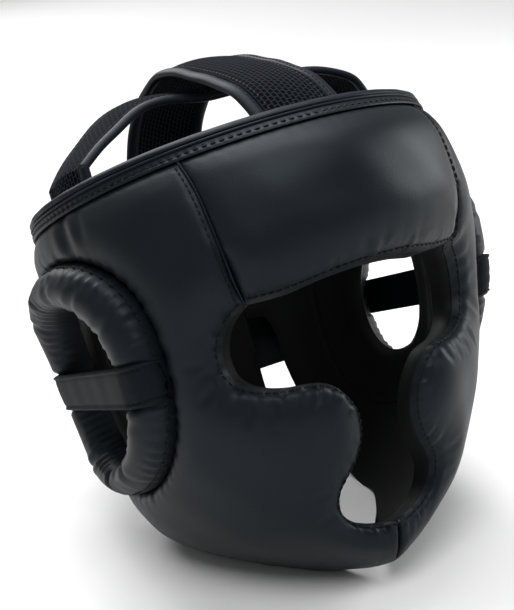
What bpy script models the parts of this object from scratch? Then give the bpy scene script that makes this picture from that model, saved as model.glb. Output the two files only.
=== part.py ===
"""Padded boxing headgear: brow pad, cheek panels, ear rings, rim and crossed crown straps."""
import math

import bpy
import numpy as np
from mathutils.geometry import delaunay_2d_cdt

# Driving sizes in metres. The head frame has +X to the wearer's left, -Y to the front, 0 at the rim.
HALF_WIDTH = 0.1146
FRONT_DEPTH = 0.1416
BACK_DEPTH = 0.1140
SHELL_HEIGHT = 0.224
GAP = 0.0003
LEAN = 0.16
ROLL = 0.026
CELL = 0.0129
EDGE_STEP = 0.0098
EDGE_ROWS = (0.0035, 0.0105)
ARC_RADIUS = 0.110

# How the headgear rests: tilted back about X onto the chin and the two rear corners
REST_TILT = 25.3
REST_FLAT = 0.0030

# Rim, straps and bindings in metres
RIM_HEIGHT = 0.011
BINDING_HEIGHT = 0.0045
STRAP_THICK = 0.003
CROWN_HALF_WIDTH = 0.0175
CROWN_BINDING = (0.0070, 0.0044)
CROWN_BEND = 0.093
CROWN_RISE = 0.056
CROWN_INSET = 0.0042
SIDE_STRAP_START = -0.0065
SIDE_STRAP_BOW = 0.110
SIDE_STRAP_LEAN = 18.0
LONG_STRAP_SHIFT = 0.003
EAR_STRAP_DROPS = (0.0925, 0.0770)
EAR_STRAP_TALL = 0.0205
EAR_STRAP_THICK = 0.0022
EAR_STRAP_LIFT = 0.0011
CLOSURE_DROPS = (0.0735, 0.1110)
CLOSURE_THICK = 0.0035

# Shell layers: drop / SHELL_HEIGHT, then outer and inner half width / HALF_WIDTH,
# outer and inner front / FRONT_DEPTH, outer and inner back / BACK_DEPTH
LAYERS = np.array((
    (0.000, 0.930, 0.838, 0.760, 0.692, 0.930, 0.842),
    (0.098, 0.975, 0.803, 0.930, 0.734, 0.982, 0.807),
    (0.223, 1.000, 0.768, 1.000, 0.777, 1.000, 0.789),
    (0.366, 0.994, 0.750, 1.000, 0.791, 0.985, 0.770),
    (0.536, 0.942, 0.716, 0.931, 0.749, 0.940, 0.725),
    (0.714, 0.820, 0.611, 0.839, 0.664, 0.880, 0.665),
    (0.871, 0.615, 0.436, 0.755, 0.579, 0.800, 0.590),
    (1.000, 0.275, 0.140, 0.625, 0.438, 0.720, 0.510),
))

TOP = RIM_HEIGHT / SHELL_HEIGHT
# Pad outlines: angle in degrees from the brow, drop / SHELL_HEIGHT,
# thickness left at the edge, distance over which the edge rolls up / ROLL
BROW_HALF = (
    (0.0, TOP, 0.85, 0.4), (20.0, TOP, 0.85, 0.4), (38.0, TOP, 0.85, 0.4),
    (36.9, 0.134, 0.88, 0.3), (35.7, 0.246, 0.88, 0.3), (34.5, 0.366, 0.50, 0.8),
    (24.0, 0.371, 0.42, 1.0), (12.0, 0.364, 0.42, 1.0), (0.0, 0.361, 0.42, 1.0),
)
SIDE = (
    (38.2, TOP, 0.85, 0.4), (37.1, 0.134, 0.88, 0.3), (35.9, 0.246, 0.88, 0.3),
    (34.7, 0.366, 0.50, 0.8), (38.0, 0.380, 0.42, 1.0), (41.3, 0.402, 0.42, 1.0),
    (43.4, 0.433, 0.42, 1.0), (44.0, 0.469, 0.42, 1.0), (43.0, 0.500, 0.42, 1.0),
    (40.0, 0.525, 0.42, 1.0), (36.0, 0.541, 0.42, 1.0), (30.0, 0.554, 0.42, 1.0),
    (25.0, 0.559, 0.42, 1.0), (20.5, 0.565, 0.42, 1.0), (17.0, 0.578, 0.42, 1.0),
    (14.0, 0.600, 0.42, 1.0), (11.5, 0.629, 0.42, 1.0), (10.2, 0.660, 0.42, 1.0),
    (10.3, 0.692, 0.42, 1.0), (12.0, 0.727, 0.42, 1.0), (15.2, 0.759, 0.42, 1.0),
    (19.0, 0.785, 0.42, 1.0), (22.3, 0.808, 0.42, 1.0), (24.2, 0.835, 0.42, 1.0),
    (24.4, 0.857, 0.42, 1.0), (21.5, 0.880, 0.42, 1.0), (14.0, 0.898, 0.42, 1.0),
    (6.0, 0.907, 0.42, 1.0), (0.12, 0.910, 0.60, 0.8), (0.12, 1.004, 0.60, 0.8),
    (18.0, 1.006, 0.40, 0.9), (40.0, 1.000, 0.40, 0.9), (55.0, 0.996, 0.40, 0.9),
    (65.0, 0.983, 0.40, 0.9), (76.0, 0.957, 0.40, 0.9), (86.0, 0.925, 0.40, 0.9),
    (98.0, 0.890, 0.40, 0.9), (112.0, 0.866, 0.40, 0.9), (122.0, 0.831, 0.40, 0.9),
    (131.0, 0.772, 0.40, 0.8), (138.0, 0.705, 0.40, 0.8), (143.0, 0.643, 0.42, 0.8),
    (147.0, 0.576, 0.45, 0.7), (149.6, 0.500, 0.45, 0.7), (150.5, 0.400, 0.50, 0.7),
    (153.0, 0.365, 0.60, 0.6), (159.9, 0.350, 0.85, 0.4), (159.9, TOP, 0.85, 0.4),
    (140.0, TOP, 0.85, 0.4),
    (115.0, TOP, 0.85, 0.4), (90.0, TOP, 0.85, 0.4), (65.0, TOP, 0.85, 0.4),
    (50.0, TOP, 0.85, 0.4),
)
NAPE_HALF = (
    (180.0, TOP, 0.85, 0.4), (160.2, TOP, 0.85, 0.4), (160.2, 0.350, 0.85, 0.4),
    (160.2, 0.500, 0.45, 0.7), (161.0, 0.670, 0.40, 0.8), (165.0, 0.728, 0.40, 0.8),
    (171.0, 0.754, 0.40, 0.8), (180.0, 0.760, 0.40, 0.8),
)
# Ovals round the ear: centre angle and half angle in degrees, centre drop and half height
# / SHELL_HEIGHT, power of the oval
EAR_OUTER = (94.0, 37.0, 0.4107, 0.279, 2.4)
EAR_HOLE = (93.5, 22.0, 0.4150, 0.183, 2.2)
EAR_FULL = 1.28
# Crown straps seen from the side: place along the span from -1 to 1, rise / CROWN_RISE
SIDE_ARCH = ((-1, -0.16), (-1, 0), (-0.97, 0.25), (-0.49, 0.75), (0, 0.75), (0.56, 0.76),
             (0.91, 0.50), (1, 0), (1, -0.16))
LONG_ARCH = ((-1, -0.16), (-1, 0), (-0.83, 0.36), (-0.47, 0.72), (0, 1.03), (0.47, 0.93),
             (0.84, 0.57), (1, 0), (1, -0.16))

LEATHER, MESH = (0.035, 0.040, 0.045, 1), (0.012, 0.012, 0.014, 1)
BUILT = []


def clear_scene():
    """Remove what the start-up file holds."""
    for item in list(bpy.data.objects):
        bpy.data.objects.remove(item)


def smooth(x, xs, ys):
    """Smooth curve through a table's rows."""
    slopes = np.gradient(ys, xs)
    i = np.clip(np.searchsorted(xs, x) - 1, 0, len(xs) - 2)
    span = xs[i + 1] - xs[i]
    t = np.clip((x - xs[i]) / span, 0, 1)
    return ((2 * t**3 - 3 * t**2 + 1) * ys[i] + (t**3 - 2 * t**2 + t) * span * slopes[i]
            + (3 * t**2 - 2 * t**3) * ys[i + 1] + (t**3 - t**2) * span * slopes[i + 1])


def shell_point(angle, drop, depth):
    """Point at an angle (radians) and drop; depth is 0 on the lining and 1 on the outer face."""
    share = drop / SHELL_HEIGHT
    rows = [smooth(share, LAYERS[:, 0], LAYERS[:, column]) for column in range(1, 7)]
    wide, front, back = (inner + (outer - inner) * depth for outer, inner in
                         zip(rows[0::2], rows[1::2]))
    x = HALF_WIDTH * wide * np.sin(angle)
    reach = np.where(np.cos(angle) > 0, -FRONT_DEPTH * front, BACK_DEPTH * back)
    y = reach * np.abs(np.cos(angle)) + LEAN * drop
    return np.stack([x, y, -drop + 0 * x], axis=-1)


def flat_rows(rows, side):
    """Outline rows as (along, down, lip, roll) in metres on the unrolled shell."""
    table = np.array(rows, dtype=float)
    along = side * np.radians(table[:, 0]) * ARC_RADIUS
    return np.stack([along, -table[:, 1] * SHELL_HEIGHT, table[:, 2], table[:, 3] * ROLL], axis=1)


def oval_rows(oval, lip, roll, shrink=0.0, count=44):
    """Outline rows of an oval round the ear."""
    middle, half, drop, tall, power = oval
    turn = np.linspace(0, 2 * math.pi, count, endpoint=False)
    wave = [np.sign(f(turn)) * np.abs(f(turn)) ** (2 / power) for f in (np.cos, np.sin)]
    angle = middle + (half - math.degrees(shrink / ARC_RADIUS)) * wave[0]
    down = drop + (tall - shrink / SHELL_HEIGHT) * wave[1]
    return [(a, d, lip, roll) for a, d in zip(angle, down)]


def resampled(loop):
    """A closed outline with a point about every EDGE_STEP."""
    out = []
    for here, there in zip(loop, np.roll(loop, -1, axis=0)):
        steps = max(1, round(float(np.hypot(*(there - here)[:2])) / EDGE_STEP))
        out += [here + (there - here) * k / steps for k in range(steps)]
    return np.array(out)


def inside(points, loop):
    """Which points lie inside a closed outline."""
    hit = np.zeros(len(points), dtype=bool)
    for (x0, y0), (x1, y1) in zip(loop[:, :2], np.roll(loop[:, :2], -1, axis=0)):
        if y0 == y1:
            continue
        crosses = (y0 > points[:, 1]) != (y1 > points[:, 1])
        hit ^= crosses & (points[:, 0] < x0 + (points[:, 1] - y0) * (x1 - x0) / (y1 - y0))
    return hit


def pillow(points, edge, full):
    """Thickness share at each point: the edge's own lip, rolling up to the full thickness."""
    away = np.hypot(points[:, None, 0] - edge[None, :, 0], points[:, None, 1] - edge[None, :, 1])
    rise = np.sqrt(1 - (1 - np.clip(away / edge[None, :, 3], 0, 1)) ** 2)
    return (edge[None, :, 2] + (full - edge[None, :, 2]) * rise).min(axis=1)


def distance(points, edge):
    """How far each point is from the nearest outline point."""
    away = np.hypot(points[:, None, 0] - edge[None, :, 0], points[:, None, 1] - edge[None, :, 1])
    return away.min(axis=1)


def rows_inside(loops):
    """Points in two rows that follow the outlines, then a staggered grid."""
    edge = np.concatenate(loops)
    rows = []
    for offset in EDGE_ROWS:
        for loop in loops:
            run = np.roll(loop[:, :2], -1, axis=0) - np.roll(loop[:, :2], 1, axis=0)
            run /= np.hypot(run[:, 0], run[:, 1])[:, None]
            normal = np.stack([-run[:, 1], run[:, 0]], axis=1)
            for way in (1, -1):
                row = loop[:, :2] + way * offset * normal
                rows.append(row[distance(row, edge) > offset * 0.9])
    low, high = loops[0][:, :2].min(axis=0), loops[0][:, :2].max(axis=0)
    levels = np.arange(low[1], high[1], CELL * 0.87)
    found = np.array([(x + (k % 2) * CELL / 2, y) for k, y in enumerate(levels)
                      for x in np.arange(low[0], high[0], CELL)])
    rows.append(found[distance(found, edge) > EDGE_ROWS[-1] + CELL * 0.6])
    points = np.concatenate(rows)
    keep = inside(points, loops[0])
    for hole in loops[1:]:
        keep &= ~inside(points, hole)
    return points[keep]


def add_mesh(name, points, faces, colour, rough=0.5):
    """Make one named solid with its own material."""
    mesh = bpy.data.meshes.new(name)
    mesh.from_pydata([tuple(p) for p in points], [], [tuple(int(i) for i in f) for f in faces])
    mesh.update()
    material = bpy.data.materials.new(name + "_finish")
    material.use_nodes = True
    shader = material.node_tree.nodes["Principled BSDF"]
    shader.inputs["Base Color"].default_value = colour
    shader.inputs["Roughness"].default_value = rough
    mesh.materials.append(material)
    item = bpy.data.objects.new(name, mesh)
    bpy.context.scene.collection.objects.link(item)
    BUILT.append(item)


def pad(name, outline, holes=(), full=1.0, side=1, colour=LEATHER):
    """A padded panel of the shell: lining side, pillowed outer side and the walls between."""
    loops = [resampled(flat_rows(rows, side)) for rows in (outline, *holes)]
    edge = np.concatenate(loops)
    flat = np.concatenate([edge[:, :2], rows_inside(loops)])
    links, start = [], 0
    for loop in loops:
        links += [(start + k, start + (k + 1) % len(loop)) for k in range(len(loop))]
        start += len(loop)
    result = delaunay_2d_cdt([tuple(p) for p in flat], links, [], 0, 1e-7)
    flat, cells = np.array([tuple(p) for p in result[0]]), np.array(result[2])
    middle = flat[cells].mean(axis=1)
    keep = inside(middle, loops[0])
    for hole in loops[1:]:
        keep &= ~inside(middle, hole)
    cells = cells[keep]
    angle, drop = flat[:, 0] / ARC_RADIUS, -flat[:, 1]
    outer = shell_point(angle, drop, pillow(flat, edge, full))
    lining = shell_point(angle, drop, 0 * angle)
    count = len(flat)
    faces = [tuple(c) for c in cells] + [tuple(c[::-1] + count) for c in cells]
    sides = {(a, b) for c in cells for a, b in ((c[0], c[1]), (c[1], c[2]), (c[2], c[0]))}
    for a, b in sorted(sides):
        if (b, a) in sides:
            continue
        if flat[b][1] < flat[a][1]:
            faces += [(b, a, a + count), (b, a + count, b + count)]
        else:
            faces += [(b, a, b + count), (a, a + count, b + count)]
    add_mesh(name, np.concatenate([outer, lining]), faces, colour)


def sweep(name, rings, closed, colour=LEATHER, rough=0.5):
    """A solid through section rings, each a list of points turning the same way."""
    rings = np.array(rings)
    turns, sides = rings.shape[:2]
    faces = []
    for k in range(turns if closed else turns - 1):
        for j in range(sides):
            a, b = k * sides + j, k * sides + (j + 1) % sides
            c, d = ((k + 1) % turns) * sides + (j + 1) % sides, ((k + 1) % turns) * sides + j
            faces += [(a, b, c), (a, c, d)]
    if not closed:
        faces += [(0, j + 1, j) for j in range(1, sides - 1)]
        last = (turns - 1) * sides
        faces += [(last, last + j, last + j + 1) for j in range(1, sides - 1)]
    points = rings.reshape(-1, 3)
    first = points[np.array(faces)]
    volume = np.einsum("ij,ij->i", first[:, 0], np.cross(first[:, 1], first[:, 2])).sum()
    add_mesh(name, points, faces if volume > 0 else [f[::-1] for f in faces], colour, rough)


def rim_loop(name, section, colour=LEATHER):
    """A strip all round the rim; the section has depth share and drop."""
    turn = np.linspace(0, 2 * math.pi, 60, endpoint=False)
    depth, drop = np.array(section).T
    rings = [shell_point(np.full(len(depth), t), drop, depth) for t in turn]
    sweep(name, rings, True, colour)


def arch(rows, count=25):
    """Side view of a crown strap from a table: place along the span and rise, both as shares."""
    table = np.array(rows)
    steps = np.arange(len(table), dtype=float)
    at = np.linspace(0, len(table) - 1, count)
    level = np.clip(smooth(at, steps, table[:, 0]), -1, 1)
    return level, smooth(at, steps, table[:, 1]) * CROWN_RISE


def crown_strap(name, path, plan, tails, lean):
    """A woven strap over the crown, turned about its path by lean, with a rolled binding per edge."""
    along = np.gradient(path, axis=0)
    along /= np.linalg.norm(along, axis=1)[:, None]
    plan = plan / np.linalg.norm(plan, axis=1)[:, None]
    across = np.stack([plan[:, 1], -plan[:, 0], 0 * plan[:, 0]], axis=1)
    out = np.cross(across, along)
    out *= np.sign((out * (path - (0, 0, -0.03))).sum(axis=1))[:, None]
    across, out = (across * np.cos(lean) - out * np.sin(lean),
                   out * np.cos(lean) + across * np.sin(lean))

    def section(offsets):
        """Rings of points given as (across, out), bent over the head."""
        return [[p + a * s + n * (h - s * s / (2 * CROWN_BEND)) for s, h in offsets]
                for p, a, n in zip(path, across, out)]

    half, t = CROWN_HALF_WIDTH, STRAP_THICK / 2
    flat = [(s * half, -t) for s in (-1, -0.33, 0.33, 1)] + [(s * half, t) for s in (1, 0.33, -0.33, -1)]
    sweep(name, section(flat), False, MESH, 0.8)
    wide, thick = CROWN_BINDING
    turn = np.linspace(0, 2 * math.pi, 8, endpoint=False) + math.pi / 8
    for side, label in ((-1, tails[0]), (1, tails[1])):
        middle = side * (half + GAP + wide / 2)
        tube = [(middle + math.cos(a) * wide / 2, math.sin(a) * thick / 2) for a in turn]
        sweep("crown_binding_" + label, section(tube), False)


def turn_of(a, b, c):
    """Above zero where the plan path a, b, c turns left."""
    return (b[0] - a[0]) * (c[1] - a[1]) - (b[1] - a[1]) * (c[0] - a[0])


def ear_hull(below):
    """Plan view of the strap's edge pulled tight over the left ear ring; below its top edge."""
    outer = resampled(flat_rows(oval_rows(EAR_OUTER, 0.75, 0.5, GAP), 1))
    hole = resampled(flat_rows(oval_rows(EAR_HOLE, 0.35, 0.5), 1))
    edge = np.concatenate([outer, hole])
    profile = []
    for angle in np.radians(np.arange(57.4, 130.7, 0.4)):
        share = (math.degrees(angle) - 57.4) / 73.3
        drop = EAR_STRAP_DROPS[0] + (EAR_STRAP_DROPS[1] - EAR_STRAP_DROPS[0]) * share + below
        flat = np.array([(angle * ARC_RADIUS, -drop)])
        if inside(flat, outer)[0] and not inside(flat, hole)[0]:
            depth = pillow(flat, edge, EAR_FULL)
            profile.append(shell_point(np.array([angle]), np.array([drop]), depth)[0, :2])
    hull = []
    for point in profile:
        while len(hull) > 1 and turn_of(hull[-2], hull[-1], point) <= 0:
            hull.pop()
        hull.append(point)
    hull = np.array(hull)
    run = np.concatenate([[0], np.cumsum(np.hypot(*np.diff(hull, axis=0).T))])
    at = np.linspace(0, run[-1], 19)
    return np.stack([np.interp(at, run, hull[:, 0]), np.interp(at, run, hull[:, 1])], axis=1)


def ear_strap(name, side):
    """A flat strap over the ear ring, pulled tight from crease to crease."""
    levels = np.linspace(0, EAR_STRAP_TALL, 4)
    plans = np.array([ear_hull(below) for below in levels])
    tops = np.linspace(*EAR_STRAP_DROPS, plans.shape[1])
    rings = []
    for k, top in enumerate(tops):
        run = plans[:, min(k + 1, len(tops) - 1)] - plans[:, max(k - 1, 0)]
        out = np.stack([run[:, 1], -run[:, 0]], axis=1) / np.hypot(run[:, 0], run[:, 1])[:, None]
        inner, outer = (plans[:, k] + out * lift
                        for lift in (EAR_STRAP_LIFT, EAR_STRAP_LIFT + EAR_STRAP_THICK))
        ring = [(side * x, y, -top - below) for (x, y), below in zip(inner, levels)]
        ring += [(side * x, y, -top - below) for (x, y), below in zip(outer[::-1], levels[::-1])]
        rings.append(ring)
    sweep(name, rings, False)


def closure_strap():
    """The wide strap that joins the side panels behind the head."""
    drops = np.linspace(*CLOSURE_DROPS, 4)
    rings = []
    for angle in np.radians(np.linspace(134.5, 225.5, 26)):
        turn = np.full(4, angle)
        under = shell_point(turn, drops, 1.035)
        over = under + (under - shell_point(turn, drops, 0.0)) * (CLOSURE_THICK / 0.026)
        rings.append(list(under) + list(over[::-1]))
    sweep("closure_strap", rings, False)


def crown_straps():
    """The side strap and, over it, the front-to-back strap; their ends tuck inside the rim."""
    level, rise = arch(SIDE_ARCH)
    left = HALF_WIDTH * 0.834 - CROWN_INSET
    right = -left
    along = (level + 1) / 2
    x = right + (left - right) * along
    y = SIDE_STRAP_START + SIDE_STRAP_BOW * along * (1 - along) * (left - right)
    plan = np.stack([np.ones(len(along)), SIDE_STRAP_BOW * (1 - 2 * along)], axis=1)
    lean = math.radians(SIDE_STRAP_LEAN) * (1 - level[:, None] ** 2)
    path = np.stack([x, y, rise], axis=1)
    crown_strap("crown_strap_side", path, plan, ("side_rear", "side_front"), lean)
    level, rise = arch(LONG_ARCH)
    front, back = -FRONT_DEPTH * 0.692 + CROWN_INSET, BACK_DEPTH * 0.842 - CROWN_INSET
    y = front + (back - front) * (level + 1) / 2
    path = np.stack([np.full(len(y), LONG_STRAP_SHIFT), y, rise], axis=1)
    plan = np.tile((0.0, 1.0), (len(y), 1))
    crown_strap("crown_strap_front_back", path, plan, ("long_right", "long_left"), 0 * y[:, None])


def settle():
    """Tilt the whole headgear to its rest, flatten where it touches and centre its box."""
    turn = math.radians(-REST_TILT)
    matrix = np.array(((1, 0, 0), (0, math.cos(turn), -math.sin(turn)),
                       (0, math.sin(turn), math.cos(turn))))
    shapes = [np.array([tuple(v.co) for v in item.data.vertices]) @ matrix.T for item in BUILT]
    every = np.concatenate(shapes)
    chin = every[every[:, 1] < -0.05, 2].min()
    rear = every[every[:, 1] > 0.0, 2].min()
    floor = min(chin, rear) + REST_FLAT
    low, high = every.min(axis=0), every.max(axis=0)
    origin = np.array([(low[0] + high[0]) / 2, (low[1] + high[1]) / 2, floor])
    for item, shape in zip(BUILT, shapes):
        shape[:, 2] = np.maximum(shape[:, 2], floor)
        for vertex, point in zip(item.data.vertices, shape - origin):
            vertex.co = point
        item.data.update()


def main():
    """Build every piece in the head frame, then set the headgear at rest."""
    clear_scene()
    brow = list(BROW_HALF) + [(-a, d, lip, roll) for a, d, lip, roll in BROW_HALF[-2:0:-1]]
    pad("forehead_pad", brow)
    for side, label in ((1, "left"), (-1, "right")):
        pad("side_panel_" + label, SIDE, [oval_rows(EAR_OUTER, 0.72, 0.5)], side=side)
        pad("ear_ring_" + label, oval_rows(EAR_OUTER, 0.75, 0.5, GAP),
            [oval_rows(EAR_HOLE, 0.35, 0.5, count=34)], full=EAR_FULL, side=side)
        ear_strap("ear_strap_" + label, side)
    nape = list(NAPE_HALF) + [(360 - a, d, lip, roll) for a, d, lip, roll in NAPE_HALF[-2:0:-1]]
    pad("back_pad", nape)
    closure_strap()
    low, high = RIM_HEIGHT - GAP, BINDING_HEIGHT
    rim_loop("rim_band", ((0, low), (0.95, low), (1.0, low - 0.002), (0.98, high + GAP),
                          (0, high + GAP)))
    rim_loop("rim_binding", ((0.0, high), (1.02, high), (1.12, high * 0.6), (0.98, high * 0.15),
                             (0.7, 0.0), (0.3, 0.0), (0.0, high * 0.3)))
    crown_straps()
    settle()


main()
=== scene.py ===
"""Boxing headgear: stitched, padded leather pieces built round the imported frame."""
from __future__ import annotations

import logging
import math
from collections.abc import Callable, Iterable, Sequence
from dataclasses import dataclass, field
from enum import Enum
from typing import ClassVar

import bpy
import numpy as np
from mathutils import Matrix, Vector
from mathutils.geometry import delaunay_2d_cdt
from mathutils.kdtree import KDTree

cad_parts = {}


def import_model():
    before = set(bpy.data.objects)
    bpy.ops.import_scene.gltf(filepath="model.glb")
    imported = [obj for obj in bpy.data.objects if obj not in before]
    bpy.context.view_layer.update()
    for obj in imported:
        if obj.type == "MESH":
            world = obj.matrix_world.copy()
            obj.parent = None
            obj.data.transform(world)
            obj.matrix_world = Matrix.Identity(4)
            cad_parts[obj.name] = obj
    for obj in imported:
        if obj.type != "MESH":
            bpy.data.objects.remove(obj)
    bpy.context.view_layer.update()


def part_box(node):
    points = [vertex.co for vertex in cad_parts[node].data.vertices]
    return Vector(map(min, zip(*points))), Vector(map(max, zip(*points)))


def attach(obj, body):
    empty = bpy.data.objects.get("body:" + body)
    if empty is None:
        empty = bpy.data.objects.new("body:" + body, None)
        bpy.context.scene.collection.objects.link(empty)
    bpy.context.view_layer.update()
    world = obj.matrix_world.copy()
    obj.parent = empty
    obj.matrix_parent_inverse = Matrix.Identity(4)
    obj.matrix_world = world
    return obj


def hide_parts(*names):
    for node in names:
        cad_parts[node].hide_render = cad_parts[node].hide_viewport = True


LOG = logging.getLogger("headgear")
MM = 0.001
Row = tuple[float, ...]


class Slot(Enum):
    """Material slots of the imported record."""

    SHELL = "shell_leather"
    STRAP = "strap_leather"
    RIM = "rim_leather"
    MESH = "crown_mesh"


class Side(Enum):
    """The wearer's two sides; the value is the sign of X."""

    LEFT = 1
    RIGHT = -1


def smooth(x: np.ndarray, xs: np.ndarray, ys: np.ndarray) -> np.ndarray:
    """Smooth curve through a table's rows.

    Args:
        x: Places to read the curve at.
        xs: The table's places, rising.
        ys: The table's values.

    Returns:
        The curve's values at x.
    """
    slopes = np.gradient(ys, xs)
    i = np.clip(np.searchsorted(xs, x) - 1, 0, len(xs) - 2)
    span = xs[i + 1] - xs[i]
    t = np.clip((x - xs[i]) / span, 0, 1)
    return ((2 * t**3 - 3 * t**2 + 1) * ys[i] + (t**3 - 2 * t**2 + t) * span * slopes[i]
            + (3 * t**2 - 2 * t**3) * ys[i + 1] + (t**3 - t**2) * span * slopes[i + 1])


@dataclass
class Shell:
    """The padded shell's form, the same as the frame's, and its place at rest.

    The head frame has +X to the wearer's left, -Y to the front and 0 at the rim.
    """

    half_width: float = 0.1146
    front_depth: float = 0.1416
    back_depth: float = 0.1140
    height: float = 0.224
    lean: float = 0.16
    arc_radius: float = 0.110
    rest_tilt: float = 25.3
    gap: float = 0.0003
    roll: float = 0.026
    offset: np.ndarray = field(default_factory=lambda: np.zeros(3))
    # drop / height, then outer and inner half width, front and back as shares of their sizes
    layers: tuple[Row, ...] = (
        (0.000, 0.930, 0.838, 0.760, 0.692, 0.930, 0.842),
        (0.098, 0.975, 0.803, 0.930, 0.734, 0.982, 0.807),
        (0.223, 1.000, 0.768, 1.000, 0.777, 1.000, 0.789),
        (0.366, 0.994, 0.750, 1.000, 0.791, 0.985, 0.770),
        (0.536, 0.942, 0.716, 0.931, 0.749, 0.940, 0.725),
        (0.714, 0.820, 0.611, 0.839, 0.664, 0.880, 0.665),
        (0.871, 0.615, 0.436, 0.755, 0.579, 0.800, 0.590),
        (1.000, 0.275, 0.140, 0.625, 0.438, 0.720, 0.510),
    )

    def head_point(self, angle: np.ndarray, drop: np.ndarray, depth: np.ndarray) -> np.ndarray:
        """Point in the head frame.

        Args:
            angle: Radians round the head from the brow, rising to the wearer's left.
            drop: Metres below the rim.
            depth: 0 on the lining, 1 on the outer face.

        Returns:
            Points, one row each.
        """
        table = np.array(self.layers)
        share = drop / self.height
        rows = [smooth(share, table[:, 0], table[:, column]) for column in range(1, 7)]
        wide, front, back = (inner + (outer - inner) * depth
                             for outer, inner in zip(rows[0::2], rows[1::2]))
        x = self.half_width * wide * np.sin(angle)
        reach = np.where(np.cos(angle) > 0, -self.front_depth * front, self.back_depth * back)
        y = reach * np.abs(np.cos(angle)) + self.lean * drop
        return np.stack([x, y, -drop + 0 * x], axis=-1)

    def turned(self, points: np.ndarray) -> np.ndarray:
        """Directions or points of the head frame, leaned back as at rest."""
        lean = math.radians(-self.rest_tilt)
        matrix = np.array(((1, 0, 0), (0, math.cos(lean), -math.sin(lean)),
                           (0, math.sin(lean), math.cos(lean))))
        return np.asarray(points) @ matrix.T

    def rest(self, points: np.ndarray) -> np.ndarray:
        """Head-frame points at rest, flattened where they would pass through the surface."""
        placed = self.turned(points) - self.offset
        placed[..., 2] = np.maximum(placed[..., 2], 0.0)
        return placed

    def thickness(self, angle: np.ndarray, drop: np.ndarray) -> np.ndarray:
        """Distance from the lining to the outer face, in metres."""
        outer = self.head_point(angle, drop, np.ones_like(angle))
        inner = self.head_point(angle, drop, np.zeros_like(angle))
        return np.linalg.norm(outer - inner, axis=-1)

    def outward(self, angle: np.ndarray, drop: np.ndarray) -> np.ndarray:
        """Unit directions at rest from the lining to the outer face."""
        outer = self.head_point(angle, drop, np.ones_like(angle))
        inner = self.head_point(angle, drop, np.zeros_like(angle))
        return unit(self.turned(outer - inner))

    def flat(self, rows: Iterable[Row], side: Side) -> np.ndarray:
        """Outline rows unrolled.

        Args:
            rows: Angle in degrees, drop / height, edge thickness share, roll / shell roll.
            side: The wearer's side.

        Returns:
            Rows of along, down, edge share and roll in metres.
        """
        table = np.array(list(rows), dtype=float)
        along = side.value * np.radians(table[:, 0]) * self.arc_radius
        down = -table[:, 1] * self.height
        return np.stack([along, down, table[:, 2], table[:, 3] * self.roll], axis=1)


def unit(vectors: np.ndarray) -> np.ndarray:
    """Vectors scaled to length 1."""
    return vectors / np.maximum(np.linalg.norm(vectors, axis=-1, keepdims=True), 1e-12)


def seated_shell() -> Shell:
    """The shell placed so that its rim binding fills the frame's own rim binding.

    Returns:
        The shell with its offset at rest.
    """
    shell = Shell()
    turn = np.linspace(0, 2 * math.pi, RimStrips.frame_stations, endpoint=False)
    corners = [shell.head_point(turn, np.full_like(turn, drop), np.full_like(turn, depth))
               for depth, drop in RimStrips().binding_section()]
    placed = shell.turned(np.concatenate(corners))
    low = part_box("rim_binding")[0]
    shell.offset = np.array((0.0, placed[:, 1].min() - low.y, placed[:, 2].min() - low.z))
    return shell


def linear(code: str) -> tuple[float, float, float, float]:
    """Linear RGBA of an sRGB hex code such as #1a2b3c."""
    parts = [int(code[k:k + 2], 16) / 255 for k in (1, 3, 5)]
    r, g, b = (c / 12.92 if c <= 0.04045 else ((c + 0.055) / 1.055) ** 2.4 for c in parts)
    return r, g, b, 1.0


def add_node(tree: bpy.types.NodeTree, kind: str, inputs: dict | None = None,
             **settings: object) -> bpy.types.Node:
    """Add a node with its settings and links.

    Args:
        tree: The material's node tree.
        kind: The node's type name.
        inputs: Input name or number, with a value or the socket that feeds it.
        settings: The node's own properties.

    Returns:
        The new node.
    """
    node = tree.nodes.new(kind)
    for key, value in settings.items():
        setattr(node, key, value)
    for key, value in (inputs or {}).items():
        if isinstance(value, bpy.types.NodeSocket):
            tree.links.new(value, node.inputs[key])
        else:
            node.inputs[key].default_value = value
    return node


def new_material(name: str) -> tuple[bpy.types.Material, bpy.types.NodeTree, bpy.types.Node]:
    """An empty node material with its Principled shader."""
    material = bpy.data.materials.new(name)
    material.use_nodes = True
    tree = material.node_tree
    return material, tree, tree.nodes["Principled BSDF"]


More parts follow.
